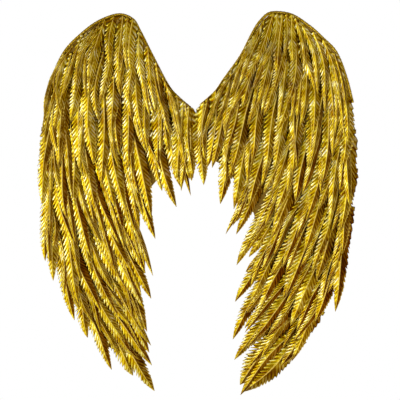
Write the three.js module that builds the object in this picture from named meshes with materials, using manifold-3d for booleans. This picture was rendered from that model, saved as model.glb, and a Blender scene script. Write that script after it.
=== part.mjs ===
import * as THREE from "three";
import Module from "manifold-3d";

const wasm = await Module();
wasm.setup();

// A pair of costume angel wings of gold pleated fabric feathers, in millimetres.
// +X is the viewer's right, +Z is up and the feathers face -Y. The origin is on the
// rear face of the centre panel, where the wings lie against the wearer's back.

const wingWidth = 374; // from the middle line to the outermost feather edge
const wingHeight = 864; // from the peak to the lowest feather tip
const wingPeak = 289; // top of the wing above the origin
const leftNarrower = 10; // the left wing is sewn this much smaller
const leftShorter = 16;
const leftLower = 4;

// Each wing is drawn in its own coordinates: out from the middle line, and up. Its top
// edge is the smooth bound one, from the valley between the wings over the peak to the
// shoulder, as shares of the width outwards and of the height down from the peak.
const wings = [
  {
    name: "left",
    side: -1,
    width: wingWidth - leftNarrower,
    peak: wingPeak - leftLower,
    height: wingHeight - leftShorter,
    lastReach: 131, // from the lowest roots down to the lowest feather tip
    lowerReach: 0, // how far the lowest tier moves outwards, as a share of the width
    topLean: 4, // degrees added to the top tier's feathers, towards the middle
    tipLean: 0, // and to the lowest tier's
    phase: 0,
    topEdge: [
      { out: 0.03, down: 0.251 },
      { out: 0.104, down: 0.224 },
      { out: 0.168, down: 0.192 },
      { out: 0.266, down: 0.112 },
      { out: 0.341, down: 0.048 },
      { out: 0.39, down: 0.014 },
      { out: 0.48, down: 0 },
      { out: 0.6, down: 0.016 },
      { out: 0.709, down: 0.048 },
      { out: 0.827, down: 0.1 },
      { out: 0.912, down: 0.176 },
      { out: 0.95, down: 0.24 },
    ],
  },
  {
    name: "right",
    side: 1,
    width: wingWidth,
    peak: wingPeak,
    height: wingHeight,
    lastReach: 120,
    lowerReach: 0.02,
    topLean: 0,
    tipLean: 6,
    phase: 1,
    topEdge: [
      { out: 0.02, down: 0.245 },
      { out: 0.11, down: 0.21 },
      { out: 0.163, down: 0.177 },
      { out: 0.265, down: 0.115 },
      { out: 0.34, down: 0.052 },
      { out: 0.388, down: 0.021 },
      { out: 0.455, down: 0 },
      { out: 0.58, down: 0.005 },
      { out: 0.695, down: 0.036 },
      { out: 0.78, down: 0.069 },
      { out: 0.86, down: 0.106 },
      { out: 0.92, down: 0.17 },
      { out: 0.962, down: 0.24 },
    ],
  },
];

const gap = 0.4; // between two sewn pieces
const middleGap = 1.2; // between the two wings
const feltThickness = 2.5;
const centreThickness = 3;
const centreWidth = 120;
const centreHeight = 105;
const centreTop = 58;
const centreCorner = 20;

const bindingRadius = 3.3;
const bindingSides = 6;
const bindingSteps = 24;

const featherLength = 200; // of a long feather, from its root to its tip
const featherFill = 0.95; // a feather's width as a share of the room between its neighbours
const featherRidge = 4.2; // height of the midrib above the feather's edges
const featherThickness = 1.4; // of the folded fabric, under the midrib
const layerGap = 1; // clear height between one tier's midribs and the next tier's edges
const headerHeight = 10; // of the band above the feather roots
const firstRoot = 15; // the top tier's roots lie this far below the peak
const rootMargin = 14; // the roots stay this far inside the smooth top edge
const rowSlope = 0.045; // each tier further down falls this much more towards its outer end
const rowMiddle = 0.55; // share of the width at which the tiers are evenly apart
const droopDepth = 85; // how far the tiers fall where they meet at the middle line
const droopStart = 0.2; // share of the width at which that fall begins
const ease = 0.35; // share of its lean that a feather loses towards its tip
const curl = 5; // degrees that each tip turns towards the middle
const stagger = 0.09; // longer and shorter feathers alternate by this share
const wander = 0.06; // a small unevenness of the lengths, as a share

const strapWidth = 20;
const strapThickness = 1.5;
const strapDepth = 150; // how far the loop stands off the back
const strapTab = 24; // length of the stitched end
const strapClear = 4; // from the centre panel's side edge to the strap's edge
const strapTopInset = 12; // from the centre panel's top to where the loop leaves the felt
const strapFootInset = 9;
const strapLeave = 1.3; // how high the loop leaves the felt and how high its round is,
const strapRound = 1.9; // as shares of half the distance between its two ends
const strapSteps = 30;

// The felt panel's cut edge under the feathers, from the shoulder down to the lowest
// tier and back up to the middle line.
const outerEdge = [
  { out: 0.925, down: 0.3 },
  { out: 0.93, down: 0.4 },
  { out: 0.92, down: 0.5 },
  { out: 0.88, down: 0.6 },
  { out: 0.8, down: 0.72 },
  { out: 0.7, down: 0.82 },
  { out: 0.55, down: 0.895 },
];
const innerEdge = [
  { out: 0.46, down: 0.9 },
  { out: 0.44, down: 0.8 },
  { out: 0.43, down: 0.7 },
  { out: 0.39, down: 0.59 },
  { out: 0.3, down: 0.48 },
  { out: 0.14, down: 0.4 },
];
const middleFoot = 0.37; // how far down the panel reaches at the middle line

// The tiers from the top down: how many row spacings below the first, shares of the width
// at the outermost and innermost feather, number of feathers, their lengths at the outer
// and the inner end as shares of featherLength, and their lean towards the middle, in
// degrees, at the outer end, halfway and at the inner end.
const tiers = [
  { drop: 0, out: 0.64, in: 0.4, count: 5, lengths: [0.6, 0.6], leans: [-34, -3, 20] },
  { drop: 0.5, out: 0.78, in: 0.3, count: 9, lengths: [0.75, 0.725], leans: [-32, -4, 22] },
  { drop: 1.05, out: 0.85, in: 0.18, count: 11, lengths: [0.85, 0.775], leans: [-22, -2, 21] },
  { drop: 2, out: 0.885, in: 0.042, count: 12, lengths: [0.975, 0.86], leans: [-12, -3, -1] },
  { drop: 3, out: 0.93, in: 0.19, count: 11, lengths: [1, 0.95], leans: [-6, 2, 5] },
  { drop: 4, out: 0.94, in: 0.39, count: 9, lengths: [1.025, 1.025], leans: [-3, 7, 11] },
  { drop: 5, out: 0.915, in: 0.47, count: 7, lengths: [1, 1.025], leans: [3, 13, 19] },
  { drop: 6, out: 0.87, in: 0.5, count: 6, lengths: [0.925, 1.025], leans: [14, 20, 24] },
  { drop: 7, out: 0.785, in: 0.51, count: 5, lengths: [0.825, 0.975], leans: [23, 26, 27] },
  { drop: 8, out: 0.7, in: 0.515, count: 4, lengths: [0.775, 0.9], leans: [32, 32, 32] },
  { drop: 9, out: 0.57, in: 0.495, count: 2, lengths: [0.69, 0.75], leans: [36, 36, 36] },
];

// How a feather's width and midrib change from near its root (0) to its tip (1), as shares.
const taper = [
  { along: 0.25, width: 1, ridge: 1 },
  { along: 0.6, width: 1, ridge: 0.95 },
  { along: 0.8, width: 0.78, ridge: 0.85 },
  { along: 0.92, width: 0.42, ridge: 0.7 },
];
const rootRidge = 0.45;
const tipRidge = 0.4;

const layerStep = featherRidge + layerGap;
const panelRear = centreThickness + gap;
const panelFront = panelRear + feltThickness;
const lastTier = tiers.length - 1;
const rows = tiers.map(({ drop }, tier) => ({ drop, tier }));
const settled = lastTier + 0.6; // below this row the feathers stop rising off the panel

function interpolate(table, key, at, value) {
  const next = Math.min(Math.max(table.findIndex((row) => row[key] > at), 1), table.length - 1);
  const upper = at > table[table.length - 1][key] ? table.length - 1 : next;
  const a = table[upper - 1];
  const b = table[upper];
  return a[value] + ((b[value] - a[value]) * (at - a[key])) / (b[key] - a[key]);
}

function edgePoint(wing, { out, down }) {
  return new THREE.Vector2(wing.width * out, wing.peak - wing.height * down);
}

// How far below the straight rows the tiers lie near the middle line.
function droop(wing, out) {
  const share = Math.max(0, 1 - out / (droopStart * wing.width));
  return droopDepth * share * share;
}

// From one header band down to the next, so that the last feathers end at the wing's foot.
function rowSpacing(wing, out) {
  const pitch = (wing.height - firstRoot - wing.lastReach) / tiers[lastTier].drop;
  return pitch + rowSlope * (out - rowMiddle * wing.width);
}

// Which tier's roots pass through this place: 0 at the top tier, 1 at the next.
function rowAt(wing, out, up) {
  const drop = (wing.peak - firstRoot - droop(wing, out) - up) / rowSpacing(wing, out);
  return interpolate(rows, "drop", drop, "tier");
}

// Each tier lies on the roots of the ones below it, so it climbs by a layer for each.
function depthAt(wing, tier, out, up, height) {
  const layers = Math.max(0, Math.min(rowAt(wing, out, up), settled) - tier);
  return -(panelFront + gap + layers * layerStep + height);
}

function vertex(wing, tier, place, height) {
  return [wing.side * place.x, depthAt(wing, tier, place.x, place.y, height), place.y];
}

// The root and the lean of the feather a share t of the way from the outer end.
function rootAt(wing, tier, t) {
  const row = tiers[tier];
  const depth = tier / lastTier;
  const outer = row.out + wing.lowerReach * depth * depth;
  const out = wing.width * (outer + (row.in - outer) * t);
  const line = wing.peak - firstRoot - droop(wing, out) - row.drop * rowSpacing(wing, out);
  const edge = wing.peak - wing.height * interpolate(wing.topEdge, "out", out / wing.width, "down");
  const [outLean, midLean, inLean] = row.leans;
  const q = 2 * t - 1;
  const bow = (inLean + outLean) / 2 - midLean;
  const turn = wing.topLean + (wing.tipLean - wing.topLean) * depth;
  const lean = midLean + ((inLean - outLean) / 2) * q + bow * q * q + turn;
  return { place: new THREE.Vector2(out, Math.min(line, edge - rootMargin)), lean };
}

function hanging(lean) {
  const angle = THREE.MathUtils.degToRad(lean);
  return new THREE.Vector2(-Math.sin(angle), -Math.cos(angle));
}

// A feather's midline is a curve that leaves the header at its lean and eases towards
// hanging straight.
function midline(wing, tier, index) {
  const row = tiers[tier];
  const t = index / (row.count - 1);
  const { place, lean } = rootAt(wing, tier, t);
  const uneven = ((0.618 * index + 0.37 * tier + 0.21 * wing.phase) % 1) - 0.5;
  const turn = (index + tier + wing.phase) % 2 ? 1 : -1;
  const [outLength, inLength] = row.lengths;
  const plain = featherLength * (outLength + (inLength - outLength) * t);
  const length = plain * (1 + stagger * turn + wander * uneven);
  const knee = place.clone().addScaledVector(hanging(lean), length / 2);
  const tip = knee.clone().addScaledVector(hanging(lean * (1 - ease) + curl), length / 2);
  return new THREE.QuadraticBezierCurve(place, knee, tip);
}

// The points and faces of one body, with corners named by their number.
function newBody(side) {
  const points = [];
  const faces = [];
  const body = {
    add: (point) => points.push(point) - 1,
    face: (...corners) => {
      for (let i = 2; i < corners.length; i++) faces.push([corners[0], corners[i - 1], corners[i]]);
    },
    solid: () =>
      new wasm.Manifold(
        new wasm.Mesh({
          numProp: 3,
          vertProperties: new Float32Array(points.flat()),
          triVerts: new Uint32Array(faces.flatMap(([a, b, c]) => (side > 0 ? [a, b, c] : [a, c, b]))),
        }),
      ),
  };
  return body;
}

// The flat band that one tier is sewn by: a section at each feather's midrib and at each
// place between two feathers, from the outer end to the inner end.
function headerBand(body, wing, tier) {
  const { count } = tiers[tier];
  const sections = [];
  for (let step = 0; step <= 2 * count; step++) {
    const { place, lean } = rootAt(wing, tier, (step - 1) / 2 / (count - 1));
    const above = place.clone().addScaledVector(hanging(lean), -headerHeight);
    const front = step % 2 ? featherRidge * rootRidge : featherThickness;
    sections.push({
      place,
      aboveRear: body.add(vertex(wing, tier, above, 0)),
      aboveFront: body.add(vertex(wing, tier, above, featherThickness)),
      rootFront: body.add(vertex(wing, tier, place, front)),
      rootRear: body.add(vertex(wing, tier, place, front - featherThickness)),
    });
  }
  for (let step = 0; step < 2 * count; step++) {
    const [p, q] = [sections[step], sections[step + 1]];
    body.face(p.aboveFront, q.aboveFront, q.rootFront, p.rootFront);
    body.face(p.aboveRear, p.rootRear, q.rootRear, q.aboveRear);
    body.face(p.aboveRear, q.aboveRear, q.aboveFront, p.aboveFront);
  }
  const [first, last] = [sections[0], sections[2 * count]];
  body.face(first.aboveRear, first.aboveFront, first.rootFront, first.rootRear);
  body.face(last.aboveRear, last.rootRear, last.rootFront, last.aboveFront);
  return sections;
}

// One feather, grown from three sections of the band: a strip of folded fabric with a
// raised midrib, ending in a point.
function feather(body, wing, tier, index, [outer, middle, inner]) {
  const curve = midline(wing, tier, index);
  const start = curve.getTangent(0);
  const reach = new THREE.Vector2(-start.y, start.x);
  const outerHalf = featherFill * outer.place.clone().sub(middle.place).dot(reach);
  const innerHalf = featherFill * inner.place.clone().sub(middle.place).dot(reach);
  let last = {
    outerFront: outer.rootFront,
    outerRear: outer.rootRear,
    top: middle.rootFront,
    under: middle.rootRear,
    innerFront: inner.rootFront,
    innerRear: inner.rootRear,
  };
  for (const { along, width, ridge } of taper) {
    const centre = curve.getPoint(along);
    const tangent = curve.getTangent(along);
    const across = new THREE.Vector2(-tangent.y, tangent.x);
    const aside = (half) => centre.clone().addScaledVector(across, half * width);
    const edge = (half) => body.add(vertex(wing, tier, aside(half), 0));
    const [outerEdge, innerEdge] = [edge(outerHalf), edge(innerHalf)];
    const next = {
      outerFront: outerEdge,
      outerRear: outerEdge,
      top: body.add(vertex(wing, tier, centre, featherRidge * ridge)),
      under: body.add(vertex(wing, tier, centre, featherRidge * ridge - featherThickness)),
      innerFront: innerEdge,
      innerRear: innerEdge,
    };
    body.face(last.outerFront, last.top, next.top, next.outerFront);
    body.face(last.top, last.innerFront, next.innerFront, next.top);
    body.face(last.outerRear, next.outerRear, next.under, last.under);
    body.face(last.under, next.under, next.innerRear, last.innerRear);
    if (last.outerFront !== last.outerRear) {
      body.face(last.outerFront, next.outerFront, last.outerRear);
      body.face(last.innerFront, last.innerRear, next.innerFront);
    }
    last = next;
  }
  const tip = body.add(vertex(wing, tier, curve.getPoint(1), featherRidge * tipRidge));
  body.face(last.outerFront, last.top, tip);
  body.face(last.top, last.innerFront, tip);
  body.face(last.outerRear, tip, last.under);
  body.face(last.under, tip, last.innerRear);
}

function geometryOf(solid) {
  const { numProp, vertProperties, triVerts } = solid.getMesh();
  const positions = new Float32Array((vertProperties.length / numProp) * 3);
  for (let i = 0; i < positions.length / 3; i++)
    positions.set(vertProperties.subarray(i * numProp, i * numProp + 3), 3 * i);
  const geometry = new THREE.BufferGeometry();
  geometry.setAttribute("position", new THREE.BufferAttribute(positions, 3));
  geometry.setIndex(new THREE.BufferAttribute(triVerts, 1));
  geometry.computeVertexNormals();
  return geometry;
}

// All feathers of one tier with their band, trimmed at the middle line.
function tierGeometry(wing, tier) {
  const body = newBody(wing.side);
  const sections = headerBand(body, wing, tier);
  for (let index = 0; index < tiers[tier].count; index++)
    feather(body, wing, tier, index, sections.slice(2 * index, 2 * index + 3));
  return geometryOf(body.solid().trimByPlane([wing.side, 0, 0], middleGap / 2));
}

// Points along the bound edge, from the middle line to the shoulder, moved inside.
function insetTopEdge(wing, inset) {
  const curve = new THREE.SplineCurve(wing.topEdge.map((row) => edgePoint(wing, row)));
  return Array.from({ length: bindingSteps + 1 }, (_, index) => {
    const share = index / bindingSteps;
    const tangent = curve.getTangentAt(share);
    return curve.getPointAt(share).add(new THREE.Vector2(tangent.y, -tangent.x).multiplyScalar(inset));
  });
}

function wingPanel(wing) {
  const inner = middleGap / 2;
  const placed = (point) => new THREE.Vector2(wing.side * point.x, point.y);
  const cut = insetTopEdge(wing, 2 * bindingRadius + gap).map(placed);
  const foot = wing.peak - wing.height * middleFoot;
  const shape = new THREE.Shape([
    new THREE.Vector2(wing.side * inner, foot),
    new THREE.Vector2(wing.side * inner, cut[0].y - Math.abs(cut[0].x) / 2),
    ...cut,
  ])
    .splineThru(outerEdge.map((row) => placed(edgePoint(wing, row))))
    .splineThru(innerEdge.map((row) => placed(edgePoint(wing, row))));
  return new THREE.ExtrudeGeometry(shape, { depth: feltThickness, bevelEnabled: false, curveSegments: 2 })
    .rotateX(Math.PI / 2)
    .translate(0, -panelRear, 0);
}

function edgeBinding(wing) {
  const run = insetTopEdge(wing, bindingRadius);
  const path = new THREE.CatmullRomCurve3(
    run.map((point) => new THREE.Vector3(wing.side * point.x, bindingRadius - panelFront, point.y)),
  );
  const section = new THREE.Shape(
    Array.from({ length: bindingSides }, (_, index) => {
      const angle = (2 * Math.PI * (index + 0.5)) / bindingSides;
      return new THREE.Vector2(Math.cos(angle), Math.sin(angle)).multiplyScalar(bindingRadius);
    }),
  );
  return new THREE.ExtrudeGeometry(section, { extrudePath: path, steps: bindingSteps, bevelEnabled: false });
}

function centrePanel() {
  const half = centreWidth / 2;
  const foot = centreTop - centreHeight;
  const shape = new THREE.Shape()
    .moveTo(-half + centreCorner, foot)
    .lineTo(half - centreCorner, foot)
    .quadraticCurveTo(half, foot, half, foot + centreCorner)
    .lineTo(half, centreTop - centreCorner)
    .quadraticCurveTo(half, centreTop, half - centreCorner, centreTop)
    .lineTo(-half + centreCorner, centreTop)
    .quadraticCurveTo(-half, centreTop, -half, centreTop - centreCorner)
    .lineTo(-half, foot + centreCorner)
    .quadraticCurveTo(-half, foot, -half + centreCorner, foot);
  return new THREE.ExtrudeGeometry(shape, { depth: centreThickness, bevelEnabled: false, curveSegments: 4 })
    .rotateX(Math.PI / 2);
}

// An elastic arm loop: both ends are stitched flat on the wing's felt beside the centre
// panel, and the loop stands off the back as it does round a shoulder.
function armLoop(side) {
  const flat = gap + strapThickness / 2 - panelRear;
  const spread = centreWidth / 2 + strapClear + strapWidth / 2;
  const topAnchor = centreTop - strapTopInset;
  const lowAnchor = centreTop - centreHeight + strapFootInset;
  const middle = (topAnchor + lowAnchor) / 2;
  const place = (off, up) => new THREE.Vector3(side * spread, flat + off, up);
  const half = (anchor) => {
    const rise = anchor - middle;
    return [
      place(0, anchor),
      place(0, anchor + strapLeave * rise),
      place(strapDepth, middle + strapRound * rise),
    ];
  };
  const furthest = place(strapDepth, middle);
  const [top, topPull, topRound] = half(topAnchor);
  const [low, lowPull, lowRound] = half(lowAnchor);
  const path = new THREE.CurvePath();
  path.add(new THREE.LineCurve3(place(0, topAnchor - strapTab), top));
  path.add(new THREE.CubicBezierCurve3(top, topPull, topRound, furthest));
  path.add(new THREE.CubicBezierCurve3(furthest, lowRound, lowPull, low));
  path.add(new THREE.LineCurve3(low, place(0, lowAnchor + strapTab)));
  const section = new THREE.Shape()
    .moveTo(-strapThickness / 2, -strapWidth / 2)
    .lineTo(strapThickness / 2, -strapWidth / 2)
    .lineTo(strapThickness / 2, strapWidth / 2)
    .lineTo(-strapThickness / 2, strapWidth / 2)
    .closePath();
  return new THREE.ExtrudeGeometry(section, { extrudePath: path, steps: strapSteps, bevelEnabled: false });
}

const group = new THREE.Group();

function addPiece(name, geometry, colour, metalness) {
  const material = new THREE.MeshStandardMaterial({ color: colour, metalness, roughness: 0.45 });
  const mesh = new THREE.Mesh(geometry, material);
  mesh.name = name;
  group.add(mesh);
}

addPiece("centre_panel", centrePanel(), 0x8a6a22, 0);
for (const wing of wings) {
  addPiece(`${wing.name}_wing_panel`, wingPanel(wing), 0xa07c28, 0);
  addPiece(`${wing.name}_edge_binding`, edgeBinding(wing), 0xc79a2c, 0.6);
  addPiece(`${wing.name}_strap`, armLoop(wing.side), 0xe8dfc4, 0);
  tiers.forEach((_, tier) => {
    const number = String(tier + 1).padStart(2, "0");
    addPiece(`${wing.name}_tier_${number}`, tierGeometry(wing, tier), 0xe0b53a, 0.6);
  });
}

export default group;
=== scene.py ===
import math
import bpy
import numpy as np
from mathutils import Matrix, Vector


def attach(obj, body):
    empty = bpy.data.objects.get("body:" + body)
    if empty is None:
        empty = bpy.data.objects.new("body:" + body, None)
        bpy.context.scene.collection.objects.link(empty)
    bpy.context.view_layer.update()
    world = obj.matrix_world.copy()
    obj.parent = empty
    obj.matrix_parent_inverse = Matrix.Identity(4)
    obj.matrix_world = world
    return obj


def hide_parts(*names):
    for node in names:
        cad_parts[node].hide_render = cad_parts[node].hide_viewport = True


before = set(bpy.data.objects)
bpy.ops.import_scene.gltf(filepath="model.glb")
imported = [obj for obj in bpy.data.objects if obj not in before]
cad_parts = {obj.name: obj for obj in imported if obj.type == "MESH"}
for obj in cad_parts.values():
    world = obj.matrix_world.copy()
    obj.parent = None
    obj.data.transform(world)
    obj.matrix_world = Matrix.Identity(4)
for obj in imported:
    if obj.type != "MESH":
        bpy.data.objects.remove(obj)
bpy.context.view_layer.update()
for thing in bpy.context.selected_objects:
    thing.select_set(False)
print("frame loaded")

# the camera stands square in front, as in the photograph

camera = {
    "aim": (0.009, -0.02, -0.1405),  # what the middle of the picture shows
    "seenWidth": 0.904,  # metres across the picture at the feathers
    "lens": 100.0,  # mm, on a 36 mm wide sensor
    "sensor": 36.0,
}
cameraData = bpy.data.cameras.new("camera")
cameraData.lens = camera["lens"]
cameraData.sensor_width = camera["sensor"]
cameraObject = bpy.data.objects.new("camera", cameraData)
bpy.context.scene.collection.objects.link(cameraObject)
aimX, aimY, aimZ = camera["aim"]
cameraAway = camera["seenWidth"] * camera["lens"] / camera["sensor"]
cameraObject.location = (aimX, aimY - cameraAway, aimZ)
cameraObject.rotation_euler = (math.pi / 2, 0, 0)
bpy.context.scene.camera = cameraObject
bpy.context.scene.view_settings.view_transform = "Standard"
print("camera placed")

# the layout, in metres, with the CAD source's own values, and the leans as the photograph has them

wings = {
    "left": {
        "side": -1,
        "phase": 0,  # lets the long and short feathers fall differently on each wing
        "width": 0.364,  # from the middle line to the outermost edge
        "peak": 0.285,  # height above the origin
        "height": 0.848,  # from the peak to the lowest tip
        "lastReach": 0.131,  # from the last tier's roots to the lowest tip
        "lowerReach": 0.0,  # how much further out the low tiers start, as a share of the width
        "topLean": 2,  # degrees towards the middle that the top tier hangs
        "topInner": -24,  # the same for the inner end of the top tiers, and so on
        "middleLean": 5,
        "outerLean": 4,
        "tipLean": 0,
        "tipLength": 0.98,
        "innerLength": 0.97,
        "edgeOut": [0.03, 0.104, 0.168, 0.266, 0.341, 0.39, 0.48, 0.6, 0.709, 0.827, 0.912, 0.95],
        "edgeDown": [0.251, 0.224, 0.192, 0.112, 0.048, 0.014, 0, 0.016, 0.048, 0.1, 0.176, 0.24],
    },
    "right": {
        "side": 1,
        "phase": 1,
        "width": 0.374,
        "peak": 0.289,
        "height": 0.864,
        "lastReach": 0.120,
        "lowerReach": 0.03,
        "topLean": 8,
        "topInner": 4,
        "middleLean": -11,
        "outerLean": 5,
        "tipLean": 11,
        "tipLength": 1.06,
        "innerLength": 0.9,
        "edgeOut": [0.02, 0.11, 0.163, 0.265, 0.34, 0.388, 0.455, 0.58, 0.695, 0.78, 0.86, 0.92, 0.962],
        "edgeDown": [0.245, 0.21, 0.177, 0.115, 0.052, 0.021, 0, 0.005, 0.036, 0.069, 0.106, 0.17, 0.24],
    },
}
layout = {
    "gap": 0.0004,  # between two sewn pieces
    "middleGap": 0.0012,  # between the two wings
    "centreThickness": 0.003,
    "feltThickness": 0.0025,
    "layerStep": 0.0052,  # from one tier to the next that lies over it
    "firstRoot": 0.015,  # below the peak
    "rootMargin": 0.014,  # of the roots inside the bound edge
    "rowSlope": 0.045,  # the rows fall this much more towards their outer ends
    "rowMiddle": 0.55,  # share of the width at which that adds nothing
    "droopDepth": 0.085,  # how far the rows fall at the middle line
    "droopStart": 0.2,  # share of the width within which they do
    "headerHeight": 0.010,
}
layout["panelRear"] = layout["centreThickness"] + layout["gap"]
layout["panelFront"] = layout["panelRear"] + layout["feltThickness"]
tierNames = ("drop", "out", "in", "count", "outLength", "inLength", "leans")
tiers = [
    dict(zip(tierNames, row))
    for row in (
        (0, 0.64, 0.4, 5, 0.120, 0.120, (-34, -3, 20)),
        (0.5, 0.78, 0.3, 9, 0.150, 0.145, (-32, -4, 22)),
        (1.05, 0.85, 0.18, 11, 0.170, 0.155, (-22, -2, 21)),
        (2, 0.885, 0.042, 12, 0.195, 0.172, (-12, -3, -1)),
        (3, 0.93, 0.19, 11, 0.200, 0.190, (-6, 2, 5)),
        (4, 0.94, 0.39, 9, 0.205, 0.205, (-3, 7, 11)),
        (5, 0.915, 0.47, 7, 0.200, 0.205, (3, 13, 19)),
        (6, 0.87, 0.5, 6, 0.185, 0.205, (14, 20, 24)),
        (7, 0.79, 0.51, 5, 0.175, 0.195, (21, 26, 27)),
        (8, 0.71, 0.515, 4, 0.165, 0.180, (30, 32, 32)),
        (9, 0.57, 0.495, 2, 0.146, 0.158, (37, 35, 33)),
    )
]
lastTier = len(tiers) - 1
tierDrops = np.array([row["drop"] for row in tiers], float)


def stretchedInterp(at, xs, ys):  # linear, and straight on past both ends
    xs, ys = np.asarray(xs, float), np.asarray(ys, float)
    k = np.clip(np.searchsorted(xs, at, side="right"), 1, len(xs) - 1)
    return ys[k - 1] + (ys[k] - ys[k - 1]) * (at - xs[k - 1]) / (xs[k] - xs[k - 1])


def droopAt(wing, out):
    share = np.maximum(0, 1 - out / (layout["droopStart"] * wing["width"]))
    return layout["droopDepth"] * share * share


def rowSpacing(wing, out):
    pitch = (wing["height"] - layout["firstRoot"] - wing["lastReach"]) / tierDrops[-1]
    return pitch + layout["rowSlope"] * (out - layout["rowMiddle"] * wing["width"])


def depthAt(wing, tier, out, up, height):  # world y of a point this high above its tier's base
    drop = (wing["peak"] - layout["firstRoot"] - droopAt(wing, out) - up) / rowSpacing(wing, out)
    row = np.minimum(stretchedInterp(drop, tierDrops, np.arange(len(tiers))), lastTier + 0.6)
    layers = np.maximum(0, row - tier)
    return -(layout["panelFront"] + layout["gap"] + layers * layout["layerStep"] + height)


def rootAt(wing, tier, t):
    row = tiers[tier]
    depth = tier / lastTier
    outer = row["out"] + wing["lowerReach"] * depth * depth
    out = wing["width"] * (outer + (row["in"] - outer) * t)
    line = wing["peak"] - layout["firstRoot"] - droopAt(wing, out) - row["drop"] * rowSpacing(wing, out)
    down = stretchedInterp(out / wing["width"], wing["edgeOut"], wing["edgeDown"])
    edge = wing["peak"] - wing["height"] * down
    outLean, midLean, inLean = row["leans"]
    q = 2 * t - 1
    bow = (inLean + outLean) / 2 - midLean
    turn = wing["topLean"] + (wing["tipLean"] - wing["topLean"]) * depth
    turn += wing["topInner"] * t * max(0, 1 - tier / 4)
    turn += wing["middleLean"] * t**3 * (1 < tier < 5)
    turn -= wing["outerLean"] * max(0, 1 - t) ** 3 * (5 < tier < lastTier)
    lean = midLean + (inLean - outLean) / 2 * q + bow * q * q + turn
    return np.array([out, min(line, edge - layout["rootMargin"])]), lean


def hanging(lean):
    return np.array([-math.sin(math.radians(lean)), -math.cos(math.radians(lean))])


# materials

def newMaterial(name):
    material = bpy.data.materials.new(name)
    material.use_nodes = True
    tree = material.node_tree
    return material, tree.nodes, tree.links, tree.nodes["Principled BSDF"]


def addNode(nodes, kind, inputs=None, **settings):
    node = nodes.new(kind)
    for key, value in settings.items():
        setattr(node, key, value)
    for socket, value in (inputs or {}).items():
        node.inputs[socket].default_value = value
    return node


def addBump(nodes, links, shader, height, strength, distance):
    bump = addNode(nodes, "ShaderNodeBump", {"Strength": strength, "Distance": distance})
    links.new(height, bump.inputs["Height"])
    links.new(bump.outputs["Normal"], shader.inputs["Normal"])


def addRamp(nodes, stops):
    ramp = nodes.new("ShaderNodeValToRGB")
    while len(ramp.color_ramp.elements) < len(stops):
        ramp.color_ramp.elements.new(0.5)
    for element, (place, colour) in zip(ramp.color_ramp.elements, stops):
        element.position = place
        element.color = (*colour, 1)
    return ramp


lame = {
    "foldShadeAndHighlight": [  # painted shade at the bottom of a pleat and painted highlight at its crest, the cloth's gold between
        (0.0, (0.19, 0.065, 0.0001)),
        (0.32, (0.46, 0.28, 0.001)),
        (0.62, (0.66, 0.51, 0.010)),
        (0.82, (0.86, 0.76, 0.14)),
        (0.98, (1.0, 0.97, 0.72)),
    ],
    "rib": (1.0, 0.78, 0.27),
    "edgeTint": (0.95, 0.62, 0.08),  # of the reflection at a grazing angle
    # painted shade, laid on in patches
    "paintedShadePatch": (0.15, 0.042, 0.001),
    "paintedShadePatchAmount": 0.8,
    "paintedGlint": 0.72,  # how much lighter the painted glints make the crumpled places, with painted shade between them
    "shaded": (0.26, 0.12, 0.012),  # painted shade, multiplied into the half of each feather that lies turned down, away from the key light
    "shadedAmount": 1.15,
    "metallic": 1.0,  # but not the ribs
    "roughness": (0.23, 0.42),
    "crinkleScale": 420.0,
    "crinkleShade": 0.4,  # how much painted light and shade the crinkles add to the folds' colour
    "crinkleBump": 0.5,
    "crinkleDepth": 0.0006,
    "patchScale": 28.0,
    "crushedScale": 44.8,
}


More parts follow.
